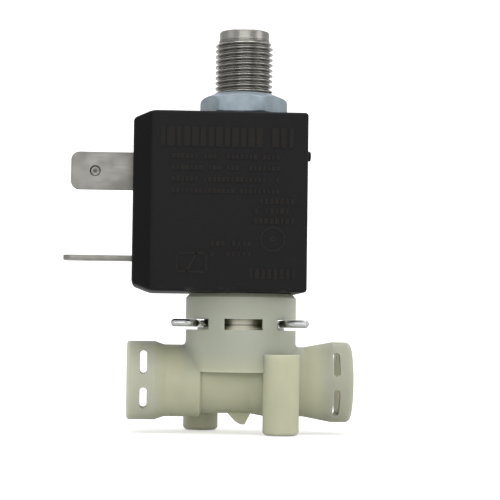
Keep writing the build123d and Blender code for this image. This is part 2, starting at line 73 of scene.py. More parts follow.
# %% [markdown]
# ## Helpers for plain meshes
# Every piece is made where it belongs, with its object at the origin, so patterns that read Object
# coordinates stay put. `settled` turns modifiers into plain mesh, because a finished piece carries none.

# %% Mesh helpers
MERGE_DISTANCE = 1e-7


def placed(name, data):
    """An object at the origin, in the scene."""
    thing = bpy.data.objects.new(name, data)
    bpy.context.scene.collection.objects.link(thing)
    return thing


def mesh_of(name, shell):
    """A mesh made from a bmesh, which is freed."""
    mesh = bpy.data.meshes.new(name)
    shell.to_mesh(mesh)
    shell.free()
    return mesh


def new_piece(name, vertices, faces, smooth=True):
    """A mesh object at the origin, with its faces turned outwards."""
    mesh = bpy.data.meshes.new(name)
    mesh.from_pydata([Vector(v) for v in vertices], [], faces)
    shell = bmesh.new()
    shell.from_mesh(mesh)
    bmesh.ops.remove_doubles(shell, verts=shell.verts, dist=MERGE_DISTANCE)
    bmesh.ops.recalc_face_normals(shell, faces=shell.faces)
    shell.to_mesh(mesh)
    shell.free()
    for polygon in mesh.polygons:
        polygon.use_smooth = smooth
    return placed(name, mesh)


def settled(piece):
    """Replaces the piece's mesh with what its modifiers make of it."""
    bpy.context.view_layer.update()
    graph = bpy.context.evaluated_depsgraph_get()
    mesh = bpy.data.meshes.new_from_object(piece.evaluated_get(graph), depsgraph=graph)
    piece.modifiers.clear()
    piece.data = mesh
    return piece


def shade_by_angle(piece, degrees):
    """Smooth faces, with edges sharper than the angle kept crisp."""
    shell = bmesh.new()
    shell.from_mesh(piece.data)
    for face in shell.faces:
        face.smooth = True
    for edge in shell.edges:
        edge.smooth = edge.calc_face_angle(0) < math.radians(degrees)
    shell.to_mesh(piece.data)
    shell.free()
    return piece


NEARLY_STRAIGHT = math.radians(172)
SHARE_OF_SIDE = 0.45


def eased(profile, cut, steps=3):
    """Rounds each corner of a closed outline with a short curve."""
    rounded = []
    for i, corner in enumerate(profile):
        here = Vector(corner)
        back, ahead = Vector(profile[i - 1]) - here, Vector(profile[(i + 1) % len(profile)]) - here
        if back.angle(ahead, math.pi) > NEARLY_STRAIGHT:
            rounded.append(tuple(here))
            continue
        reach = min(cut, back.length * SHARE_OF_SIDE, ahead.length * SHARE_OF_SIDE)
        start = here + back.normalized() * reach
        end = here + ahead.normalized() * reach
        for step in range(steps + 1):
            t = step / steps
            rounded.append(tuple(start * (1 - t) ** 2 + here * 2 * t * (1 - t) + end * t * t))
    return rounded


def turned(name, profile, around=128):
    """A ring turned about the valve axis from a closed outline of (radius, height)."""
    vertices = []
    for column in range(around):
        angle = 2 * math.pi * column / around
        vertices += [(r * math.cos(angle), r * math.sin(angle), z) for r, z in profile]
    rows = len(profile)
    faces = []
    for column in range(around):
        here, beside = column * rows, (column + 1) % around * rows
        for i in range(rows):
            above = (i + 1) % rows
            faces.append((here + i, beside + i, beside + above, here + above))
    return new_piece(name, vertices, faces)


def joined(name, parts):
    """Joins pieces into one mesh."""
    shell = bmesh.new()
    for part in parts:
        shell.from_mesh(part.data)
        bpy.data.objects.remove(part)
    return placed(name, mesh_of(name, shell))


# %% [markdown]
# ## Helpers for node trees
# Shaders and Geometry Nodes share the same Math nodes, so one helper serves both. A value handed to
# `math_node` may be a number or another node's output.

# %% Node helpers
def feed(tree, socket, value):
    """Links an output to a socket, or sets the socket to a plain value."""
    if isinstance(value, bpy.types.NodeSocket):
        tree.links.new(value, socket)
    else:
        socket.default_value = value


def math_node(tree, operation, *values, clamp=False):
    """The result of one Math node."""
    node = tree.nodes.new("ShaderNodeMath")
    node.operation, node.use_clamp = operation, clamp
    for socket, value in zip(node.inputs, values):
        feed(tree, socket, value)
    return node.outputs[0]


def ramp_value(tree, value, low, high, to_low=0.0, to_high=1.0, soft=False):
    """Maps a value from one range to another, clamped at both ends."""
    node = tree.nodes.new("ShaderNodeMapRange")
    node.interpolation_type = "SMOOTHSTEP" if soft else "LINEAR"
    for label, number in (("Value", value), ("From Min", low), ("From Max", high),
                          ("To Min", to_low), ("To Max", to_high)):
        feed(tree, node.inputs[label], number)
    return node.outputs["Result"]


def split_xyz(tree, vector):
    """The three coordinates of a vector."""
    node = tree.nodes.new("ShaderNodeSeparateXYZ")
    tree.links.new(vector, node.inputs[0])
    return node.outputs


def off_axis(tree, first, second):
    """The distance from an axis, from the two coordinates across it."""
    squares = [math_node(tree, "MULTIPLY", value, value) for value in (first, second)]
    return math_node(tree, "SQRT", math_node(tree, "ADD", *squares))


def by_identifier(sockets, identifier):
    """A socket that shares its name with others, found by its identifier."""
    return next(socket for socket in sockets if socket.identifier == identifier)


def blended(tree, factor, first, second):
    """A colour between two colours."""
    node = tree.nodes.new("ShaderNodeMix")
    node.data_type = "RGBA"
    for label, value in (("Factor_Float", factor), ("A_Color", first), ("B_Color", second)):
        if isinstance(value, tuple):
            value = (*value, 1.0)
        feed(tree, by_identifier(node.inputs, label), value)
    return by_identifier(node.outputs, "Result_Color")


def noise(tree, vector, scale, detail):
    """The value of a Noise Texture."""
    node = tree.nodes.new("ShaderNodeTexNoise")
    for label, value in (("Vector", vector), ("Scale", scale), ("Detail", detail)):
        feed(tree, node.inputs[label], value)
    return node.outputs[0]


def new_group(name, kind, inputs, outputs):
    """An empty node group with named sockets, and its input and output nodes."""
    tree = bpy.data.node_groups.new(name, kind)
    for label, (socket_type, default) in inputs.items():
        socket = tree.interface.new_socket(label, in_out="INPUT", socket_type=socket_type)
        if default is not None:
            socket.default_value = default
    for label, socket_type in outputs.items():
        tree.interface.new_socket(label, in_out="OUTPUT", socket_type=socket_type)
    return tree, tree.nodes.new("NodeGroupInput"), tree.nodes.new("NodeGroupOutput")


# %% [markdown]
# ## Shared surface effects
# Three effects turn up on several finishes. Grain is the fine texture that a mould or a tool leaves,
# with a slow drift of tone. Scratches are a noise stretched along one direction. Rubbing shows as
# broken patches beside an edge, where the piece has touched other things.

# %% Grain, scratches and rubbed edges as node groups
NUMBER, VECTOR = "NodeSocketFloat", "NodeSocketVector"

grain, g_in, g_out = new_group(
    "surface grain", "ShaderNodeTree",
    {"Vector": (VECTOR, None), "Scale": (NUMBER, 4000.0), "Drift Scale": (NUMBER, 90.0)},
    {"Height": NUMBER, "Tone": NUMBER},
)
fine = noise(grain, g_in.outputs["Vector"], g_in.outputs["Scale"], 2.0)
grain.links.new(fine, g_out.inputs["Height"])
drift = noise(grain, g_in.outputs["Vector"], g_in.outputs["Drift Scale"], 4.0)
grain.links.new(ramp_value(grain, drift, 0.3, 0.7, soft=True), g_out.inputs["Tone"])

scratches, s_in, s_out = new_group(
    "fine scratches", "ShaderNodeTree",
    {"Vector": (VECTOR, None), "Stretch": (VECTOR, (200.0, 6000.0, 6000.0)), "Amount": (NUMBER, 0.5)},
    {"Mask": NUMBER},
)
stretch = scratches.nodes.new("ShaderNodeVectorMath")
stretch.operation = "MULTIPLY"
scratches.links.new(s_in.outputs["Vector"], stretch.inputs[0])
scratches.links.new(s_in.outputs["Stretch"], stretch.inputs[1])
streak = noise(scratches, stretch.outputs[0], 1.0, 2.0)
streak = ramp_value(scratches, streak, 0.45, 0.7)
streak = math_node(scratches, "MULTIPLY", streak, s_in.outputs["Amount"])
scratches.links.new(streak, s_out.inputs["Mask"])

rubbing, r_in, r_out = new_group(
    "rubbed edge", "ShaderNodeTree",
    {"Vector": (VECTOR, None), "Distance": (NUMBER, 0.0), "Width": (NUMBER, 0.001),
     "Patch Scale": (NUMBER, 900.0)},
    {"Mask": NUMBER},
)
share = math_node(rubbing, "DIVIDE", r_in.outputs["Distance"], r_in.outputs["Width"])
nearness = math_node(rubbing, "SUBTRACT", 1.0, share, clamp=True)
patches = noise(rubbing, r_in.outputs["Vector"], r_in.outputs["Patch Scale"], 5.0)
patches = ramp_value(rubbing, patches, 0.55, 0.68)
rubbing.links.new(math_node(rubbing, "MULTIPLY", nearness, patches), r_out.inputs["Mask"])
print("shared effects:", grain.name, "/", scratches.name, "/", rubbing.name)

# %% A material to start from
def start_material(name, metallic=0.0, **constants):
    """A material with a Principled shader, its constants set on the shader, and Object coordinates."""
    material = bpy.data.materials.new(name)
    material.use_nodes = True
    tree = material.node_tree
    shader = tree.nodes["Principled BSDF"]
    shader.inputs["Metallic"].default_value = metallic
    for label, value in constants.items():
        shader.inputs[label.replace("_", " ")].default_value = value
    place = tree.nodes.new("ShaderNodeTexCoord").outputs["Object"]
    return material, tree, shader, place


def effect(tree, group, **values):
    """Places a shared effect in a material and returns its outputs."""
    node = tree.nodes.new("ShaderNodeGroup")
    node.node_tree = group
    for label, value in values.items():
        feed(tree, node.inputs[label.replace("_", " ")], value)
    return node.outputs


def bumped(tree, shader, height, depth, strength=1.0):
    """Sends a height through a Bump node to the shader's normal."""
    bump = tree.nodes.new("ShaderNodeBump")
    bump.inputs["Distance"].default_value = depth
    bump.inputs["Strength"].default_value = strength
    tree.links.new(height, bump.inputs["Height"])
    tree.links.new(bump.outputs["Normal"], shader.inputs["Normal"])


# %% [markdown]
# ## The moulded body's plastic
# The body is unfilled nylon: greenish cream, slightly see-through, with a satin skin. Light enters it,
# so the shader has some subsurface scattering. Steel stands behind the tower's wall and greys it, the
# collars of the ports are greyer than the run, and the outlet's the darker of the two. The insides of the
# sockets are painted lighter, as painted light glowing through their walls. A fine seam runs along the plane
# where the mould opened.

# %% Body plastic
CREAM, DEEP_CREAM = (0.495, 0.50, 0.362), (0.46, 0.465, 0.337)
COLLAR_CREAM, OUTLET_CREAM = (0.455, 0.465, 0.375), (0.375, 0.38, 0.305)
SOCKET_PAINTED_GLOW, TOWER_CREAM = (0.52, 0.515, 0.42), (0.41, 0.428, 0.35)
PORT_Z = 8.58 * MM
PLASTIC_WALL = 1.95 * MM
TOWER_HEIGHT = 13.1 * MM


def body_plastic(tower_radius, tower_low):
    material, tree, shader, place = start_material(
        "moulded nylon", Subsurface_Weight=0.75, Subsurface_Scale=0.004, IOR=1.5, Specular_IOR_Level=0.35)
    shader.inputs["Subsurface Radius"].default_value = (1.0, 1.0, 0.75)
    x, y, z = split_xyz(tree, place)
    sideways = math_node(tree, "ABSOLUTE", x)
    grained = effect(tree, grain, Vector=place, Scale=3500.0, Drift_Scale=160.0)
    colour = blended(tree, grained["Tone"], CREAM, DEEP_CREAM)
    collars = ramp_value(tree, sideways, 12.5 * MM, 15.5 * MM, soft=True)
    colour = blended(tree, collars, colour, COLLAR_CREAM)
    outlet = ramp_value(tree, x, 12.0 * MM, 15.0 * MM, soft=True)
    colour = blended(tree, outlet, colour, OUTLET_CREAM)
    # The insides of the sockets are painted lighter: painted light, standing in for light that glows through
    # their thin walls.
    from_port = off_axis(tree, y, math_node(tree, "SUBTRACT", z, PORT_Z))
    in_bore = ramp_value(tree, from_port, 5.2 * MM, 6.0 * MM, 1, 0, True)
    past_seat = ramp_value(tree, sideways, 8.0 * MM, 9.0 * MM, soft=True)
    colour = blended(tree, math_node(tree, "MULTIPLY", in_bore, past_seat), colour, SOCKET_PAINTED_GLOW)
    rising = ramp_value(tree, z, tower_low - 1.5 * MM, tower_low + 4 * MM, soft=True)
    near_axis = ramp_value(tree, off_axis(tree, x, y), tower_radius + 0.4 * MM, tower_radius + 2.5 * MM,
                           1, 0, True)
    colour = blended(tree, math_node(tree, "MULTIPLY", rising, near_axis), colour, TOWER_CREAM)
    tree.links.new(colour, shader.inputs["Base Color"])
    tree.links.new(ramp_value(tree, grained["Tone"], 0, 1, 0.42, 0.52), shader.inputs["Roughness"])
    seam = ramp_value(tree, math_node(tree, "ABSOLUTE", y), 0.05 * MM, 0.11 * MM, 1, 0, True)
    height = math_node(tree, "ADD", math_node(tree, "MULTIPLY", grained["Height"], 0.25), seam)
    bumped(tree, shader, height, 0.04 * MM, 0.6)
    return material


tower_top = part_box("valve_body")[1].z
tube_low, tube_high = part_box("armature_tube")
tower_radius = tube_high.x + PLASTIC_WALL
nylon = body_plastic(tower_radius, tower_top - TOWER_HEIGHT)
print("body plastic made for a tower of radius", round(tower_radius / MM, 2), "mm")

# %% [markdown]
# ## The coil's black resin
# The coil is sealed in a glass-filled resin, nearly black, with the fine matt texture of a spark-eroded
# mould. It gathers a little grey where it has been rubbed along its lower edges. The marks raised from
# its front are a shade browner, and the bevelled end is painted darker than the front, as shade.

# %% Coil resin
def coil_resin(low, end_x):
    material, tree, shader, place = start_material("black resin", IOR=1.5, Specular_IOR_Level=0.14)
    x, y, z = split_xyz(tree, place)
    grained = effect(tree, grain, Vector=place, Scale=4200.0, Drift_Scale=120.0)
    dark = blended(tree, grained["Tone"], (0.0068, 0.0068, 0.0075), (0.0092, 0.0092, 0.0102))
    # The bevelled end is painted darker than the front: painted shade on the faces that turn away from the
    # light.
    end_painted_shade = ramp_value(tree, x, end_x - 0.3 * MM, end_x + 0.1 * MM, 1, 0, True)
    dark = blended(tree, end_painted_shade, dark, (0.002, 0.002, 0.0022))
    off_edge = math_node(tree, "SUBTRACT", z, low.z)
    rubbed = effect(tree, rubbing, Vector=place, Distance=off_edge, Width=0.8 * MM, Patch_Scale=450.0)
    raised = ramp_value(tree, y, low.y + 0.1 * MM, low.y + 0.02 * MM, 0, 1, True)
    dark = blended(tree, math_node(tree, "MULTIPLY", raised, 0.45), dark, (0.018, 0.0155, 0.012))
    dark = blended(tree, math_node(tree, "MULTIPLY", rubbed["Mask"], 0.5), dark, (0.09, 0.09, 0.085))
    tree.links.new(dark, shader.inputs["Base Color"])
    tree.links.new(ramp_value(tree, grained["Tone"], 0, 1, 0.5, 0.62), shader.inputs["Roughness"])
    bumped(tree, shader, grained["Height"], 0.05 * MM, 0.55)
    return material


coil_low, coil_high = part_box("coil_moulding")
SHOULDER_X = -15.4 * MM
resin = coil_resin(coil_low, SHOULDER_X)
print("coil resin made; coil stands from", round(coil_low.z / MM, 2), "to", round(coil_high.z / MM, 2), "mm")

# %% [markdown]
# ## Metals
# Each metal keeps its own habit. Turned stainless has rings left by the tool round its axis, and dirt and
# painted shade in its grooves. Passivated zinc is cool, satin and a little cloudy. The tinned blades and
# the drawn wire are marked along their length, and the blades' dimples are painted dark, as shade.

# %% Turned stainless steel
GROOVE_DIRT_AND_SHADE = (0.20, 0.192, 0.175)


def turned_stainless(name, light, dark, smooth, rough, grooves):
    """Steel with tool rings. Grooves are painted darker, as dirt and as painted shade: (root radius, outer
    radius, lowest and highest height).
    """
    material, tree, shader, place = start_material(name, metallic=0.9)
    x, y, z = split_xyz(tree, place)
    rings = noise(tree, math_node(tree, "MULTIPLY", z, 9000.0), 1.0, 2.0)
    grained = effect(tree, grain, Vector=place, Scale=2500.0, Drift_Scale=300.0)
    root, crest, low, high = grooves
    # Near the root radius, between the two heights, the colour is painted darker: dirt and painted shade.
    depth = ramp_value(tree, off_axis(tree, x, y), root + 0.05 * MM, crest - 0.25 * MM, 1, 0, True)
    above_low = ramp_value(tree, z, low - 0.1 * MM, low)
    below_high = ramp_value(tree, z, high - 0.1 * MM, high + 0.1 * MM, 1, 0)
    shaded = math_node(tree, "MULTIPLY", depth, math_node(tree, "MULTIPLY", above_low, below_high))
    colour = blended(tree, grained["Tone"], light, dark)
    colour = blended(tree, shaded, colour, GROOVE_DIRT_AND_SHADE)
    tree.links.new(colour, shader.inputs["Base Color"])
    tree.links.new(ramp_value(tree, rings, 0.3, 0.7, smooth, rough), shader.inputs["Roughness"])
    bumped(tree, shader, rings, 0.012 * MM, 0.5)
    return material


core_low, core_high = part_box("fixed_core")
nut_low, nut_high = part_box("coil_nut")
THREAD_DEPTH = 0.581 * MM
major_radius = core_high.x
root_radius = major_radius - THREAD_DEPTH
thread_low = nut_low.z - 2.6 * MM
thread_high = core_high.z - 1.5 * MM
stud_steel = turned_stainless("turned stainless", (0.33, 0.32, 0.297), (0.285, 0.277, 0.256), 0.20, 0.32,
                              (root_radius, major_radius, thread_low, thread_high))
# The tube's groove band is painted dark: painted shade, a dark line where the flange meets the tube.
groove_z = tube_low.z + 1.7 * MM     # a groove turned in the rim of the tube's flange
tube_steel = turned_stainless("drawn stainless tube", (0.42, 0.41, 0.335), (0.33, 0.32, 0.262), 0.26, 0.40,
                              (5.95 * MM, 6.3 * MM, groove_z, groove_z + 0.3 * MM))

# %% Zinc plating, tinned brass and spring wire
def grained_finish(name, scales, light, dark, smooth, rough, depth, strength, **constants):
    """A plain finish: two tones that drift, a roughness that follows them, and a fine grain."""
    material, tree, shader, place = start_material(name, **constants)
    grained = effect(tree, grain, Vector=place, Scale=scales[0], Drift_Scale=scales[1])
    tree.links.new(blended(tree, grained["Tone"], light, dark), shader.inputs["Base Color"])
    tree.links.new(ramp_value(tree, grained["Tone"], 0, 1, smooth, rough), shader.inputs["Roughness"])
    bumped(tree, shader, grained["Height"], depth, strength)
    return material


DIMPLE_RADIUS, DIMPLE_INSET = 0.92 * MM, 4.0 * MM
DIMPLE_PAINTED_SHADE = (0.07, 0.066, 0.05)


def marked_metal(name, light, dark, stretch, smooth, rough, dimple=None):
    """Metal with fine marks along one direction, and painted shade in a dimple if its middle is given."""
    material, tree, shader, place = start_material(name, metallic=1.0)
    grained = effect(tree, grain, Vector=place, Scale=3000.0, Drift_Scale=350.0)
    marks = effect(tree, scratches, Vector=place, Stretch=stretch, Amount=0.8)["Mask"]
    tone = math_node(tree, "MAXIMUM", grained["Tone"], marks)
    colour = blended(tree, tone, light, dark)
    if dimple:
        offset = tree.nodes.new("ShaderNodeVectorMath")
        offset.operation = "DISTANCE"
        tree.links.new(place, offset.inputs[0])
        offset.inputs[1].default_value = dimple
        # The inside of the dimple is painted dark: painted shade in the pressed hollow.
        rim = ramp_value(tree, offset.outputs["Value"], 0.88 * MM, 1.02 * MM, 1, 0, True)
        colour = blended(tree, rim, colour, DIMPLE_PAINTED_SHADE)
    tree.links.new(colour, shader.inputs["Base Color"])
    tree.links.new(ramp_value(tree, tone, 0, 1, smooth, rough), shader.inputs["Roughness"])
    bumped(tree, shader, marks, 0.01 * MM, 0.5)
    return material


def tinned_brass(name, node, upright):
    """Tinned brass for one blade. Its dimple is pressed in the front, or in the lower face."""
    low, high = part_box(node)
    dimple = (low + high) / 2
    dimple.x = low.x + DIMPLE_INSET
    if upright:
        dimple.y = low.y - 0.35 * MM
    else:
        dimple.z = low.z - 0.35 * MM
    return marked_metal(name, (0.29, 0.284, 0.262), (0.245, 0.24, 0.222), (300.0, 7000.0, 7000.0),
                        0.42, 0.56, dimple)


tinned_upper = tinned_brass("tinned brass, upper blade", "upper_terminal", True)
tinned_lower = tinned_brass("tinned brass, lower blade", "lower_terminal", False)
wire_steel = marked_metal("spring wire", (0.56, 0.57, 0.56), (0.44, 0.45, 0.44),
                          (900.0, 900.0, 7000.0), 0.22, 0.34)
yoke_steel = marked_metal("bare steel strip", (0.30, 0.30, 0.31), (0.22, 0.215, 0.21),
                          (5000.0, 5000.0, 300.0), 0.4, 0.6)
copper = marked_metal("bare copper", (0.72, 0.36, 0.22), (0.55, 0.25, 0.14),
                      (4000.0, 4000.0, 600.0), 0.25, 0.4)
zinc = grained_finish("passivated zinc", (2200.0, 500.0), (0.33, 0.395, 0.435), (0.28, 0.335, 0.37),
                      0.46, 0.58, 0.02 * MM, 0.35, metallic=0.45, IOR=1.5)
metals = (stud_steel, tube_steel, tinned_upper, tinned_lower, wire_steel, yoke_steel, copper, zinc)
print("metals:", [metal.name for metal in metals])

# %% [markdown]
# ## Finishes inside the valve
# The hidden pieces are finished too: rubber for the seals, enamelled wire laid in turns, woven tape over
# the winding, and natural nylon for the bobbin.

# %% Rubber, winding, tape and bobbin
ENAMELLED_WIRE = 0.16 * MM
TAPE_WEAVE = 0.4 * MM


def enamelled_winding():
    material, tree, shader, place = start_material("enamelled winding", metallic=0.9)
    z = split_xyz(tree, place)[2]
    turns = math_node(tree, "SINE", math_node(tree, "MULTIPLY", z, 2 * math.pi / ENAMELLED_WIRE))
    colour = blended(tree, ramp_value(tree, turns, -1, 1), (0.20, 0.06, 0.02), (0.55, 0.22, 0.08))
    tree.links.new(colour, shader.inputs["Base Color"])
    shader.inputs["Roughness"].default_value = 0.3
    bumped(tree, shader, turns, 0.03 * MM, 0.8)
    return material


def woven_tape():
    material, tree, shader, place = start_material("woven tape", IOR=1.45)
    x, y, z = split_xyz(tree, place)
    round_axis = math_node(tree, "ARCTAN2", y, x)
    weft = math_node(tree, "SINE", math_node(tree, "MULTIPLY", z, 2 * math.pi / TAPE_WEAVE))
    warp = math_node(tree, "SINE", math_node(tree, "MULTIPLY", round_axis, 140.0))
    weave = math_node(tree, "MULTIPLY", weft, warp)
    colour = blended(tree, ramp_value(tree, weave, -1, 1), (0.46, 0.33, 0.08), (0.62, 0.48, 0.17))
    tree.links.new(colour, shader.inputs["Base Color"])
    tree.links.new(ramp_value(tree, weave, -1, 1, 0.5, 0.7), shader.inputs["Roughness"])
    bumped(tree, shader, weave, 0.03 * MM, 0.7)
    return material


winding, tape = enamelled_winding(), woven_tape()
rubber = grained_finish("seal rubber", (5000.0, 400.0), (0.03, 0.026, 0.024), (0.045, 0.04, 0.037),
                        0.55, 0.7, 0.02 * MM, 0.5, IOR=1.5, Specular_IOR_Level=0.35)
bobbin = grained_finish("bobbin nylon", (3500.0, 200.0), (0.52, 0.46, 0.34), (0.44, 0.385, 0.28),
                        0.4, 0.55, 0.03 * MM, 0.4, IOR=1.5)
print("inner finishes:", [finish.name for finish in (rubber, winding, tape, bobbin)])

# %% Dress the pieces whose engineering shape stays
dressed = {
    "valve_body": nylon, "armature_tube": tube_steel, "flange_oring": rubber, "shading_ring": copper,
    "plunger_core": stud_steel, "lower_seal": rubber, "upper_seal": rubber, "coil_bobbin": bobbin,
    "coil_winding": winding, "winding_tape": tape, "magnet_frame": yoke_steel,
    "lower_flux_bush": yoke_steel, "upper_flux_bush": yoke_steel, "start_lead": copper, "finish_lead": copper,
}
for name, material in dressed.items():
    for slot in nodes[name].material_slots:
        slot.material = material
print("dressed", len(dressed), "engineering pieces")

# %% [markdown]
# ## The fixed core and its threaded stud
# The core is one turned piece, and its top is a stud with a G 1/8 thread. A real thread is a helix, so
# the blank is turned first and a Geometry Nodes tree then raises the ridge by a rule: the height depends
# on how far a point lies from the helix, and it fades to nothing at both ends, as a cut thread runs out.

# %% The rule that raises a thread
THREAD_INPUTS = {
    "Geometry": ("NodeSocketGeometry", None), "Root Radius": (NUMBER, 0.0), "Depth": (NUMBER, 0.0),
    "Pitch": (NUMBER, 0.0), "Low": (NUMBER, 0.0), "High": (NUMBER, 0.0), "Run-out": (NUMBER, 0.0),
    "Material": ("NodeSocketMaterial", None),
}


def geometry_group(name, inputs):
    """A Geometry Nodes tree with named inputs."""
    return new_group(name, "GeometryNodeTree", inputs, {"Geometry": "NodeSocketGeometry"})


def thread_tree():
    tree, start, end = geometry_group("raised thread", THREAD_INPUTS)
    size = start.outputs
    x, y, z = split_xyz(tree, tree.nodes.new("GeometryNodeInputPosition").outputs[0])
    radius = off_axis(tree, x, y)
    turn = math_node(tree, "DIVIDE", math_node(tree, "ARCTAN2", y, x), 2 * math.pi)
    pitches = math_node(tree, "DIVIDE", z, size["Pitch"])
    along = math_node(tree, "FRACT", math_node(tree, "SUBTRACT", pitches, turn))
    off_crest = math_node(tree, "ABSOLUTE", math_node(tree, "MULTIPLY_ADD", along, 2.0, -1.0))
    ridge = ramp_value(tree, math_node(tree, "SUBTRACT", 1.0, off_crest), 0.2, 0.8)
    full_from = math_node(tree, "ADD", size["Low"], size["Run-out"])
    full_to = math_node(tree, "SUBTRACT", size["High"], size["Run-out"])
    rise = ramp_value(tree, z, size["Low"], full_from, soft=True)
    fall = ramp_value(tree, z, full_to, size["High"], 1, 0, True)
    just_inside = math_node(tree, "MULTIPLY", size["Root Radius"], 0.97)
    outside = math_node(tree, "GREATER_THAN", radius, just_inside)
    height = math_node(tree, "MULTIPLY", math_node(tree, "MULTIPLY", ridge, outside),
                       math_node(tree, "MULTIPLY", rise, fall))
    push = math_node(tree, "DIVIDE", math_node(tree, "MULTIPLY", height, size["Depth"]), radius)
    offset = tree.nodes.new("ShaderNodeCombineXYZ")
    tree.links.new(math_node(tree, "MULTIPLY", x, push), offset.inputs[0])
    tree.links.new(math_node(tree, "MULTIPLY", y, push), offset.inputs[1])
    move = tree.nodes.new("GeometryNodeSetPosition")
    tree.links.new(size["Geometry"], move.inputs["Geometry"])
    tree.links.new(offset.outputs[0], move.inputs["Offset"])
    finish_tree(tree, move.outputs[0], size["Material"], end)
    return tree


def finish_tree(tree, geometry, material, end):
    """Realizes instances, sets the material and ends the tree."""
    real = tree.nodes.new("GeometryNodeRealizeInstances")
    paint = tree.nodes.new("GeometryNodeSetMaterial")
    tree.links.new(geometry, real.inputs[0])
    tree.links.new(real.outputs[0], paint.inputs["Geometry"])
    tree.links.new(material, paint.inputs["Material"])
    tree.links.new(paint.outputs[0], end.inputs["Geometry"])


def grown(piece, tree, **sizes):
    """Runs a tree on a piece with the given inputs and keeps the result as plain mesh."""
    modifier = piece.modifiers.new(tree.name, "NODES")
    modifier.node_group = tree
    for item in tree.interface.items_tree:
        key = item.name.replace("-", "_").replace(" ", "_")
        if item.item_type == "SOCKET" and item.in_out == "INPUT" and key in sizes:
            modifier[item.identifier] = sizes[key]
    return settled(piece)


# %% Turn the core and cut its thread
PITCH = 0.907 * MM
ROWS_PER_PITCH = 12
RUN_OUT = 1.1 * MM
NOSE_RADIUS, NOSE_BREAK = 4.22 * MM, 0.2 * MM
CORE_RADIUS = 4.48 * MM
SEAT_HOLE, SEAT_RADIUS, SEAT_FOOT = 0.9 * MM, 1.5 * MM, 1.7 * MM
RING_INNER, RING_OUTER, RING_DEPTH = 3.0 * MM, 3.7 * MM, 1.6 * MM     # the shading ring's groove
VENT_RADIUS, OUTLET_RADIUS = 1.6 * MM, 2.6 * MM
shoulder_z = tube_high.z
core_face = core_low.z + 0.5 * MM
ring_floor = core_face + RING_DEPTH

thread_length = thread_high - thread_low
rows = round(thread_length / (PITCH / ROWS_PER_PITCH))
thread_rows = [(root_radius, thread_low + thread_length * i / rows) for i in range(rows + 1)]
core_outline = [
    (SEAT_HOLE, core_low.z), (SEAT_RADIUS, core_low.z), (SEAT_FOOT, core_face),
    (RING_INNER, core_face), (RING_INNER, ring_floor), (RING_OUTER, ring_floor), (RING_OUTER, core_face),
    (CORE_RADIUS, core_face), (CORE_RADIUS, shoulder_z), (root_radius, shoulder_z),
    *thread_rows,
    (NOSE_RADIUS, thread_high + 0.05 * MM), (NOSE_RADIUS, core_high.z - NOSE_BREAK),
    (NOSE_RADIUS - NOSE_BREAK, core_high.z), (OUTLET_RADIUS, core_high.z),
    (OUTLET_RADIUS, core_high.z - 7.75 * MM), (VENT_RADIUS, core_high.z - 8.75 * MM),
    (VENT_RADIUS, core_face + 3.0 * MM), (SEAT_HOLE, core_face + 2.6 * MM),
]
core = turned("threaded_core", eased(core_outline, 0.16 * MM), around=144)
core = grown(core, thread_tree(), Root_Radius=root_radius, Depth=THREAD_DEPTH, Pitch=PITCH,
             Low=thread_low, High=thread_high, Run_out=RUN_OUT, Material=stud_steel)
shade_by_angle(core, 50)
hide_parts("fixed_core")
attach(core, "head")
print("thread of", round(thread_length / PITCH, 1), "turns,", len(core.data.polygons), "faces")

# %% [markdown]
# ## The nut and its washer
# A hexagon nut is a turned, chamfered blank milled to six flats. The same order works here: turn the
# blank, then pull every point that lies outside a flat back to it. The corners come out with the curved
# line that a chamfer leaves on each flat.

# %% Turn and mill the nut
HEX_TURN = math.radians(-98)     # the way that one of the flats faces
FLAT_HALF = 6.5 * MM
EDGE_SHARPNESS = 14 / MM
MILLED_FROM = 5.6 * MM
SHOULDER_HEIGHT, SHOULDER_ROUND = 2.65 * MM, 1.0 * MM
DOME_TOP_RADIUS = 5.1 * MM
FOOT_CHAMFER = 0.35 * MM


def milled_to_hexagon(piece):
    """Pulls the outer points in to six flats, with a slightly rounded edge all round each flat."""
    for vertex in piece.data.vertices:
        radius = math.hypot(vertex.co.x, vertex.co.y)
        if radius < MILLED_FROM:
            continue
        angle = math.atan2(vertex.co.y, vertex.co.x) - HEX_TURN
        off_middle = (angle + math.pi / 6) % (math.pi / 3) - math.pi / 6
        flat = FLAT_HALF / math.cos(off_middle)
        limit = flat - math.log(1 + math.exp(EDGE_SHARPNESS * (flat - radius))) / EDGE_SHARPNESS
        vertex.co.xy *= min(1, limit / radius)
    return piece


def between(start, end, steps):
    """Points from start to end, without the start."""
    return [tuple(a + (b - a) * i / steps for a, b in zip(start, end)) for i in range(1, steps + 1)]


corner = FLAT_HALF / math.cos(math.pi / 6) - 0.05 * MM
shoulder = nut_low.z + SHOULDER_HEIGHT
dome_slope = math.atan2(nut_high.z - shoulder, corner - DOME_TOP_RADIUS)
round_turn = math.pi / 2 - dome_slope
round_low = shoulder - SHOULDER_ROUND * math.tan(round_turn / 2)
foot = (corner, nut_low.z + FOOT_CHAMFER)
round_rows = [(corner - SHOULDER_ROUND * (1 - math.cos(a)), round_low + SHOULDER_ROUND * math.sin(a))
              for a in [round_turn * i / 8 for i in range(1, 9)]]
nut_outline = [
    (5.0 * MM, nut_low.z + 0.1 * MM), (5.2 * MM, nut_low.z), (FLAT_HALF - FOOT_CHAMFER, nut_low.z),
    (corner - 0.2 * MM, nut_low.z + 0.3 * MM), foot, *between(foot, (corner, round_low), 9), *round_rows,
    *between(round_rows[-1], (DOME_TOP_RADIUS, nut_high.z), 12), (4.9 * MM, nut_high.z - 0.2 * MM),
]
nut = turned("hexagon_nut", nut_outline, around=192)
milled_to_hexagon(nut)
nut.data.materials.append(zinc)
shade_by_angle(nut, 38)
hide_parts("coil_nut")
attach(nut, "head")

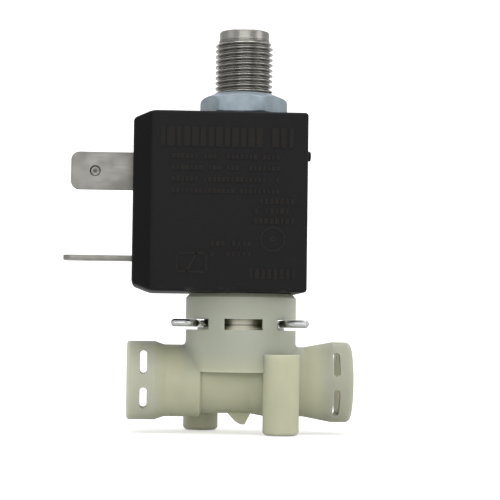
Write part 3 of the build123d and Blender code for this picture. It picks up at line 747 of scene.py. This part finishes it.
washer_low, washer_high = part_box("nut_washer")
WASHER_BORE = 5.0 * MM
washer = turned("plain_washer", eased([
    (WASHER_BORE, washer_low.z), (washer_high.x, washer_low.z),
    (washer_high.x, washer_high.z), (WASHER_BORE, washer_high.z),
], 0.12 * MM))
washer.data.materials.append(zinc)
shade_by_angle(washer, 50)
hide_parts("nut_washer")
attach(washer, "head")
print("nut", round(2 * FLAT_HALF / MM, 1), "mm across flats; washer", round(2 * washer_high.x / MM, 1), "mm")

# %% [markdown]
# ## The coil's moulding
# The resin block is a box whose terminal end is bevelled on all four sides. A hull of twelve corners
# gives that shape, and a Bevel modifier rounds its edges as a mould does. Booleans then bore it for the
# tube and leave room for the frame and the bobbin that it encapsulates.

# %% Shape the coil's block
BLOCK_LEFT, BLOCK_RIGHT = -18.5 * MM, 10.1 * MM
RELIEF = 0.2 * MM
FACE_Y = coil_low.y + RELIEF / 2     # half of the marks' depth stands proud, up to the coil's front
BEVEL_FRONT, BEVEL_TOP = 1.9 * MM, 1.15 * MM
BORE_RADIUS, BUSH_RADIUS = 5.15 * MM, 5.9 * MM
TERMINAL_HALF = 6.2 * MM


def box_corners(xs, ys, zs):
    return [(x, y, z) for x in xs for y in ys for z in zs]


def block_corners():
    corners = box_corners((SHOULDER_X, BLOCK_RIGHT), (FACE_Y, coil_high.y), (coil_low.z, coil_high.z))
    return corners + box_corners((BLOCK_LEFT,), (FACE_Y + BEVEL_FRONT, coil_high.y - BEVEL_FRONT),
                                 (coil_low.z + BEVEL_TOP, coil_high.z - BEVEL_TOP))


def hull_of(name, corners):
    shell = bmesh.new()
    for point in corners:
        shell.verts.new(point)
    bmesh.ops.convex_hull(shell, input=shell.verts)
    bmesh.ops.dissolve_limit(shell, angle_limit=math.radians(1), verts=shell.verts, edges=shell.edges)
    bmesh.ops.recalc_face_normals(shell, faces=shell.faces)
    return placed(name, mesh_of(name, shell))


def bevelled(piece, width, segments, angle):
    """Rounds the edges that are sharper than the angle."""
    modifier = piece.modifiers.new("rounded edges", "BEVEL")
    modifier.width, modifier.segments = width, segments
    modifier.limit_method, modifier.angle_limit = "ANGLE", math.radians(angle)
    return settled(piece)


def cut_by(piece, cutter):
    """Subtracts the cutter from the piece."""
    modifier = piece.modifiers.new("cut", "BOOLEAN")
    modifier.operation, modifier.object, modifier.solver = "DIFFERENCE", cutter, "EXACT"
    settled(piece)
    bpy.data.objects.remove(cutter)
    return piece


def prism(name, low_outline, high_outline):
    """A closed solid between two outlines with the same number of points."""
    count = len(low_outline)
    sides = [(i, (i + 1) % count, count + (i + 1) % count, count + i) for i in range(count)]
    caps = [tuple(range(count)), tuple(range(count, 2 * count))]
    return new_piece(name, [*low_outline, *high_outline], [*sides, *caps], smooth=False)


def rod(name, radius, low, high, around=96, low_radius=None):
    """A closed round bar along Z, or a cone if its two radii differ."""
    ring = [2 * math.pi * i / around for i in range(around)]
    outlines = [[(r * math.cos(a), r * math.sin(a), z) for a in ring]
                for r, z in ((low_radius or radius, low), (radius, high))]
    return prism(name, *outlines)


def merged_copy(node):
    """A copy of an engineering piece with its loose triangles joined."""
    shell = bmesh.new()
    shell.from_mesh(nodes[node].data)
    bmesh.ops.remove_doubles(shell, verts=shell.verts, dist=MERGE_DISTANCE)
    return placed(node + " copy", mesh_of(node, shell))


def resin_cavity():
    """The pieces that the resin closes round, as cutters."""
    yoke_low, yoke_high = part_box("magnet_frame")
    bobbin_low, bobbin_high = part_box("coil_bobbin")
    bore = rod("bore", BORE_RADIUS, coil_low.z - 5 * MM, coil_high.z + 5 * MM)
    bushes = rod("bushes", BUSH_RADIUS, yoke_low.z, yoke_high.z)
    winding_seat = rod("winding seat", bobbin_high.y, bobbin_low.z, bobbin_high.z)
    terminal_seat = hull_of("terminal seat", box_corners(
        (bobbin_low.x, 0), (-TERMINAL_HALF, TERMINAL_HALF), (bobbin_low.z, bobbin_high.z)))
    return bore, bushes, winding_seat, terminal_seat, merged_copy("magnet_frame")


block = bevelled(hull_of("coil_block", block_corners()), 0.55 * MM, 4, 12)
for cutter in resin_cavity():
    cut_by(block, cutter)
print("coil block:", len(block.data.polygons), "faces")

# %% [markdown]
# ## Marks moulded on the coil
# Such a coil carries data lines and symbols raised from its front. Plain bars of uneven length stand
# for the lines, a rectangle with a diagonal is the drawing symbol for a coil, and a ring with a dot
# is a mould-date dial without its figures. A Geometry Nodes tree lays the bars in rows from a fixed seed.

# %% Rows of raised bars
BAR_INPUTS = {
    "Geometry": ("NodeSocketGeometry", None), "Width": (NUMBER, 0.0), "Height": (NUMBER, 0.0),
    "Columns": ("NodeSocketInt", 8), "Rows": ("NodeSocketInt", 4), "Bar Height": (NUMBER, 0.0),
    "Relief": (NUMBER, 0.0), "Gaps": (NUMBER, 0.2), "Seed": ("NodeSocketInt", 3),
    "Middle": (VECTOR, (0, 0, 0)), "Material": ("NodeSocketMaterial", None),
}


def bar_tree():
    tree, start, end = geometry_group("raised bars", BAR_INPUTS)
    size = start.outputs
    grid = tree.nodes.new("GeometryNodeMeshGrid")
    for label, value in (("Size X", size["Width"]), ("Size Y", size["Height"]),
                         ("Vertices X", size["Columns"]), ("Vertices Y", size["Rows"])):
        tree.links.new(value, grid.inputs[label])
    stand = tree.nodes.new("GeometryNodeTransform")
    stand.inputs["Rotation"].default_value = (math.pi / 2, 0, 0)
    tree.links.new(grid.outputs["Mesh"], stand.inputs["Geometry"])
    tree.links.new(size["Middle"], stand.inputs["Translation"])
    bar = tree.nodes.new("GeometryNodeMeshCube")
    bar_size = tree.nodes.new("ShaderNodeCombineXYZ")
    tree.links.new(math_node(tree, "DIVIDE", size["Width"], size["Columns"]), bar_size.inputs["X"])
    tree.links.new(size["Relief"], bar_size.inputs["Y"])
    tree.links.new(size["Bar Height"], bar_size.inputs["Z"])
    tree.links.new(bar_size.outputs[0], bar.inputs["Size"])
    keep = tree.nodes.new("FunctionNodeRandomValue")
    keep.data_type = "FLOAT"
    tree.links.new(size["Seed"], by_identifier(keep.inputs, "Seed"))
    chosen = math_node(tree, "GREATER_THAN", by_identifier(keep.outputs, "Value_001"), size["Gaps"])
    length = tree.nodes.new("FunctionNodeRandomValue")
    length.data_type = "FLOAT_VECTOR"
    length.inputs["Min"].default_value = (0.5, 1, 1)
    length.inputs["Max"].default_value = (1.0, 1, 1)
    tree.links.new(size["Seed"], by_identifier(length.inputs, "Seed"))
    place = tree.nodes.new("GeometryNodeInstanceOnPoints")
    tree.links.new(stand.outputs[0], place.inputs["Points"])
    tree.links.new(chosen, place.inputs["Selection"])
    tree.links.new(bar.outputs["Mesh"], place.inputs["Instance"])
    tree.links.new(length.outputs[0], place.inputs["Scale"])
    finish_tree(tree, place.outputs[0], size["Material"], end)
    return tree


bars = bar_tree()
marks = []
# Each row: name, width, height, columns, lines, height of a bar, the middle's x and z, seed.
for label, width, height, columns, lines, bar_height, middle_x, middle_z, seed in (
    ("heading", 21, 0.0, 17, 1, 3.2, -3.2, 48.6, 5),
    ("data lines", 17, 5.6, 24, 4, 0.8, -3.4, 42.6, 11),
    ("side lines", 6, 3.2, 8, 3, 1.0, 4.6, 36.6, 21),
    ("low lines", 6, 1.7, 8, 2, 0.8, -2.4, 30.4, 31),
    ("foot line", 7, 0.0, 8, 1, 1.7, 4.4, 26.4, 8),
):
    row = new_piece(label, [(0, 0, 0)], [])
    middle = Vector((middle_x * MM, FACE_Y, middle_z * MM))
    marks.append(grown(row, bars, Width=width * MM, Height=height * MM, Columns=columns, Rows=lines,
                       Bar_Height=bar_height * MM, Relief=RELIEF, Gaps=0.12, Seed=seed, Middle=middle,
                       Material=resin))


def flat_ring(name, inner, outer, centre):
    """A raised ring on the front."""
    half = RELIEF / 2
    outline = eased([(inner, -half), (outer, -half), (outer, half), (inner, half)], 0.08 * MM, 2)
    ring = turned(name, outline, around=72)
    ring.data.transform(Matrix.Translation(centre) @ Matrix.Rotation(math.pi / 2, 4, "X"))
    return ring


LINE_WIDTH = 0.35 * MM


def bar_between(name, start, end):
    """A raised straight line on the front, between two points given as (x, z) in millimetres."""
    start, end = (Vector((x * MM, FACE_Y, z * MM)) for x, z in (start, end))
    along = (end - start).normalized()
    across = along.cross(Vector((0, 1, 0))) * LINE_WIDTH / 2
    deep = Vector((0, RELIEF / 2, 0))
    corners = [p + a * across + d * deep for p in (start, end) for a in (-1, 1) for d in (-1, 1)]
    return hull_of(name, corners)


dial = Vector((4.4 * MM, FACE_Y, 32.0 * MM))
marks.append(flat_ring("dial ring", 1.7 * MM, 2.15 * MM, dial))
marks.append(flat_ring("dial dot", 0.05 * MM, 0.55 * MM, dial))
symbol = [(-11.2, 26.6), (-6.4, 26.6), (-6.4, 29.6), (-11.2, 29.6)]
for i, point in enumerate(symbol):
    marks.append(bar_between("symbol side", point, symbol[(i + 1) % 4]))
marks.append(bar_between("symbol stroke", (-9.6, 26.6), (-8.0, 29.6)))
print("raised marks:", len(marks), "groups")

# %% The gate nub, and one finished moulding
NUB_Z = 46.8 * MM
NUB_RADIUS, NUB_ROOT, NUB_CORE = 0.85 * MM, -0.3 * MM, 0.02 * MM
nub_length = coil_high.x - BLOCK_RIGHT
nub_outline = [(NUB_CORE, NUB_ROOT), (NUB_RADIUS, NUB_ROOT), (NUB_RADIUS, nub_length), (NUB_CORE, nub_length)]
nub = turned("nub", eased(nub_outline, 0.35 * MM), around=40)
nub.data.transform(Matrix.Translation((BLOCK_RIGHT, 0, NUB_Z)) @ Matrix.Rotation(math.pi / 2, 4, "Y"))
moulding = joined("encapsulated_coil", [block, nub, *marks])
moulding.data.materials.clear()
moulding.data.materials.append(resin)
shade_by_angle(moulding, 30)
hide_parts("coil_moulding")
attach(moulding, "coil")
print("moulding:", len(moulding.data.polygons), "faces")

# %% [markdown]
# ## Blade terminals
# Each blade is stamped from 0.8 mm strip, with rounded corners at its tip, coined edges that guide the
# receptacle, and a dimple that the receptacle's latch drops into. A Boolean presses the dimple, and a
# small bevel coins the edges.

# %% Stamp the blades
TIP_ROUND = 1.4 * MM
DIMPLE_DEPTH, DIMPLE_FLOOR_RADIUS = 0.55 * MM, 0.7 * MM


def blade(name, node, upright, tinned):
    """A blade made flat, then turned to stand upright, or over so that its dimple faces down."""
    low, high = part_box(node)
    middle, half = (low + high) / 2, (high - low) / 2
    half_width, half_thick = (half.z, half.y) if upright else (half.y, half.z)
    quarter = [math.pi / 2 * i / 6 for i in range(7)]
    arc = [(low.x + TIP_ROUND * (1 - math.sin(a)), half_width - TIP_ROUND * (1 - math.cos(a))) for a in quarter]
    outline = [(high.x, -half_width), (high.x, half_width), *arc, *[(x, -w) for x, w in reversed(arc)]]
    piece = prism(name, *[[(x, w, z) for x, w in outline] for z in (-half_thick, half_thick)])
    bevelled(piece, 0.12 * MM, 3, 40)
    dimple = rod("dimple", DIMPLE_RADIUS, half_thick - DIMPLE_DEPTH, half_thick + 0.02 * MM, 48,
                 DIMPLE_FLOOR_RADIUS)
    dimple.data.transform(Matrix.Translation((low.x + DIMPLE_INSET, 0, 0)))
    cut_by(piece, dimple)
    turn = Matrix.Rotation(math.pi / 2 if upright else math.pi, 4, "X")
    piece.data.transform(Matrix.Translation((0, middle.y, middle.z)) @ turn)
    piece.data.materials.clear()
    piece.data.materials.append(tinned)
    shade_by_angle(piece, 35)
    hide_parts(node)
    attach(piece, "coil")
    return piece


blades = [blade("upper_blade", "upper_terminal", True, tinned_upper),
          blade("lower_blade", "lower_terminal", False, tinned_lower)]
print("blades:", [len(piece.data.polygons) for piece in blades], "faces")

# %% [markdown]
# ## The wire clip
# The clip is one piece of round spring wire bent into a U, with both ends turned out as finger lugs.
# A Geometry Nodes tree rounds the bends of a short route, sweeps the wire along it and domes its ends.

# %% Bend the clip
WIRE_INPUTS = {
    "Geometry": ("NodeSocketGeometry", None), "Wire Radius": (NUMBER, 0.0), "Bend Radius": (NUMBER, 0.0),
    "Material": ("NodeSocketMaterial", None),
}


def swept_wire(tree, curve, wire_radius, domed):
    """Sweeps a round wire along a curve, and rounds its two ends off if they are domed."""
    section = tree.nodes.new("GeometryNodeCurvePrimitiveCircle")
    section.inputs["Resolution"].default_value = 20
    tree.links.new(wire_radius, section.inputs["Radius"])
    sweep = tree.nodes.new("GeometryNodeCurveToMesh")
    sweep.inputs["Fill Caps"].default_value = True
    tree.links.new(curve, sweep.inputs["Curve"])
    tree.links.new(section.outputs["Curve"], sweep.inputs["Profile Curve"])
    smooth = tree.nodes.new("GeometryNodeSetShadeSmooth")
    if not domed:
        tree.links.new(sweep.outputs["Mesh"], smooth.inputs["Geometry"])
        return smooth.outputs[0]
    ends = tree.nodes.new("GeometryNodeCurveEndpointSelection")
    ball = tree.nodes.new("GeometryNodeMeshUVSphere")
    ball.inputs["Segments"].default_value, ball.inputs["Rings"].default_value = 20, 12
    tree.links.new(wire_radius, ball.inputs["Radius"])
    domes = tree.nodes.new("GeometryNodeInstanceOnPoints")
    tree.links.new(curve, domes.inputs["Points"])
    tree.links.new(ends.outputs[0], domes.inputs["Selection"])
    tree.links.new(ball.outputs["Mesh"], domes.inputs["Instance"])
    both = tree.nodes.new("GeometryNodeJoinGeometry")
    tree.links.new(sweep.outputs["Mesh"], both.inputs[0])
    tree.links.new(domes.outputs[0], both.inputs[0])
    tree.links.new(both.outputs[0], smooth.inputs["Geometry"])
    return smooth.outputs[0]


def clip_tree():
    tree, start, end = geometry_group("bent wire", WIRE_INPUTS)
    route = tree.nodes.new("GeometryNodeMeshToCurve")
    tree.links.new(start.outputs["Geometry"], route.inputs["Mesh"])
    bends = tree.nodes.new("GeometryNodeFilletCurve")
    if "Mode" in bends.inputs:
        bends.inputs["Mode"].default_value = "Poly"
    else:
        bends.mode = "POLY"
    bends.inputs["Count"].default_value = 8
    bends.inputs["Limit Radius"].default_value = True
    tree.links.new(route.outputs[0], bends.inputs["Curve"])
    tree.links.new(start.outputs["Bend Radius"], bends.inputs["Radius"])
    wire = swept_wire(tree, bends.outputs[0], start.outputs["Wire Radius"], True)
    finish_tree(tree, wire, start.outputs["Material"], end)
    return tree


clip_low, clip_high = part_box("retaining_clip")
wire_radius = (clip_high.z - clip_low.z) / 2
clip_z = (clip_low.z + clip_high.z) / 2
CLIP_TURN = Matrix.Rotation(math.radians(-2.0), 3, "Z")
CLIP_SHIFT = -0.3
BEND_RADIUS = 1.3 * MM
# From the end of a lug, along the lug, in to the leg, and back along the leg, in millimetres.
half_route = [(10.7, -9.4), (8.3, -9.4), (7.35, -4.0), (7.35, 10.6)]
route = [(CLIP_SHIFT - x, y) for x, y in half_route] + [(CLIP_SHIFT + x, y) for x, y in reversed(half_route)]
route = [CLIP_TURN @ Vector((x * MM, y * MM, clip_z)) for x, y in route]
clip_mesh = bpy.data.meshes.new("wire_clip")
clip_mesh.from_pydata(route, [(i, i + 1) for i in range(len(route) - 1)], [])
clip = placed("wire_clip", clip_mesh)
grown(clip, clip_tree(), Wire_Radius=wire_radius, Bend_Radius=BEND_RADIUS, Material=wire_steel)
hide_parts("retaining_clip")
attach(clip, "body")
print("clip wire", round(2 * wire_radius / MM, 2), "mm,", len(clip.data.polygons), "faces")

# %% [markdown]
# ## Springs
# A compression spring is round wire along a helix, so a tree that takes the coil's radius, height and
# number of turns makes both springs.

# %% Coil the springs
SPRING_INPUTS = {
    "Geometry": ("NodeSocketGeometry", None), "Coil Radius": (NUMBER, 0.0), "Wire Radius": (NUMBER, 0.0),
    "Low": (NUMBER, 0.0), "Height": (NUMBER, 0.0), "Turns": (NUMBER, 5.0),
    "Material": ("NodeSocketMaterial", None),
}


def spring_tree():
    tree, start, end = geometry_group("compression spring", SPRING_INPUTS)
    size = start.outputs
    helix = tree.nodes.new("GeometryNodeCurveSpiral")
    helix.inputs["Resolution"].default_value = 40
    for label, value in (("Rotations", size["Turns"]), ("Start Radius", size["Coil Radius"]),
                         ("End Radius", size["Coil Radius"]), ("Height", size["Height"])):
        tree.links.new(value, helix.inputs[label])
    lift = tree.nodes.new("ShaderNodeCombineXYZ")
    tree.links.new(size["Low"], lift.inputs["Z"])
    place = tree.nodes.new("GeometryNodeTransform")
    tree.links.new(helix.outputs[0], place.inputs["Geometry"])
    tree.links.new(lift.outputs[0], place.inputs["Translation"])
    wire = swept_wire(tree, place.outputs[0], size["Wire Radius"], False)
    finish_tree(tree, wire, size["Material"], end)
    return tree


helical = spring_tree()


def spring(name, node, body, wire, turns):
    """A spring in a node's place, on the body that carries it, with a mesh of its own."""
    low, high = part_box(node)
    piece = new_piece(name, [(0, 0, 0)], [])
    grown(piece, helical, Coil_Radius=high.x - wire, Wire_Radius=wire, Low=low.z + wire,
          Height=high.z - low.z - 2 * wire, Turns=turns, Material=wire_steel)
    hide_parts(node)
    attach(piece, body)
    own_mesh(piece)


spring("return_spring", "plunger_spring", "head", 0.25 * MM, 4.5)
spring("exhaust_spring", "seal_spring", "plunger", 0.2 * MM, 6.0)

# %% [markdown]
# ## Studio
# A pale sweep of paper runs under the valve and up behind it. The main light is a wide soft panel in
# front, with weaker ones on the left and the right, above and behind. The camera looks almost level from
# a little to the left, with a long lens. It sees the paper and the world as white, while both light the
# valve a little less, so that its pale plastic keeps its modelling.

# %% Paper sweep
def studio_sweep():
    half_width, front, depth, bend, rise, gap = 1.6, -1.2, 0.55, 0.35, 0.5, 0.0001
    turn = [math.pi / 2 * i / 12 for i in range(1, 13)]
    profile = [(front, 0.0), (depth, 0.0)]
    profile += [(depth + bend * math.sin(a), bend * (1 - math.cos(a))) for a in turn]
    profile.append((depth + bend, rise))
    vertices = [(side * half_width, y, z - gap) for y, z in profile for side in (-1, 1)]
    faces = [(2 * i, 2 * i + 1, 2 * i + 3, 2 * i + 2) for i in range(len(profile) - 1)]
    paper = new_piece("paper_sweep", vertices, faces)
    material, tree, shader, place = start_material(
        "white paper", Roughness=0.95, Specular_IOR_Level=0.0, Emission_Strength=1.0)
    seen = tree.nodes.new("ShaderNodeLightPath").outputs["Is Camera Ray"]
    grained = effect(tree, grain, Vector=place, Scale=900.0, Drift_Scale=3.0)
    white = blended(tree, grained["Tone"], (0.90, 0.90, 0.90), (0.915, 0.915, 0.915))
    tree.links.new(blended(tree, seen, (0.85, 0.85, 0.85), white), shader.inputs["Base Color"])
    tree.links.new(blended(tree, seen, (0.0, 0.0, 0.0), (0.42, 0.42, 0.42)), shader.inputs["Emission Color"])
    paper.data.materials.append(material)


studio_sweep()


# %% Lights
def aimed(thing, place, target):
    """Sets a light or a camera at a place, and points it at a target."""
    thing.location = place
    thing.rotation_mode = "QUATERNION"
    thing.rotation_quaternion = (target - thing.location).to_track_quat("-Z", "Y")
    return thing


centre = (cad_low + cad_high) / 2
# Each light: name, place, width and height in metres, power in watts.
for name, place, wide, high, power in (
    ("front", (-0.05, -0.85, 0.14), 0.75, 0.6, 2.2),
    ("left", (-0.70, -0.25, 0.35), 0.4, 0.5, 0.3),
    ("right", (0.70, -0.25, 0.35), 0.4, 0.5, 0.9),
    ("top", (0.0, -0.12, 0.80), 0.6, 0.5, 2.6),
    ("back", (0.0, 0.65, 0.70), 0.7, 0.35, 1.2),
):
    panel = bpy.data.lights.new(name, "AREA")
    panel.shape, panel.size, panel.size_y, panel.energy = "RECTANGLE", wide, high, power
    aimed(placed(name, panel), place, centre)
world = bpy.data.worlds.new("studio")
world.use_nodes = True
sky = world.node_tree
seen = sky.nodes.new("ShaderNodeLightPath").outputs["Is Camera Ray"]
sky.links.new(blended(sky, seen, (0.66, 0.66, 0.66), (1.0, 1.0, 1.0)), sky.nodes["Background"].inputs["Color"])
sky.nodes["Background"].inputs["Strength"].default_value = 1.0
bpy.context.scene.world = world
bpy.context.scene.view_settings.view_transform = "Standard"

# %% Camera
ROLL = math.radians(0.75)
look_at = Vector((1.4 * MM, 0, 30.75 * MM))
lens = bpy.data.cameras.new("camera")
lens.lens, lens.sensor_width = 130, 36
lens.clip_start, lens.clip_end = 0.01, 10
camera = aimed(placed("camera", lens), (-16.2 * MM, -305 * MM, 17 * MM), look_at)
camera.rotation_quaternion @= Matrix.Rotation(ROLL, 3, "Z").to_quaternion()
bpy.context.scene.camera = camera
print("camera", round((look_at - camera.location).length / MM), "mm away")
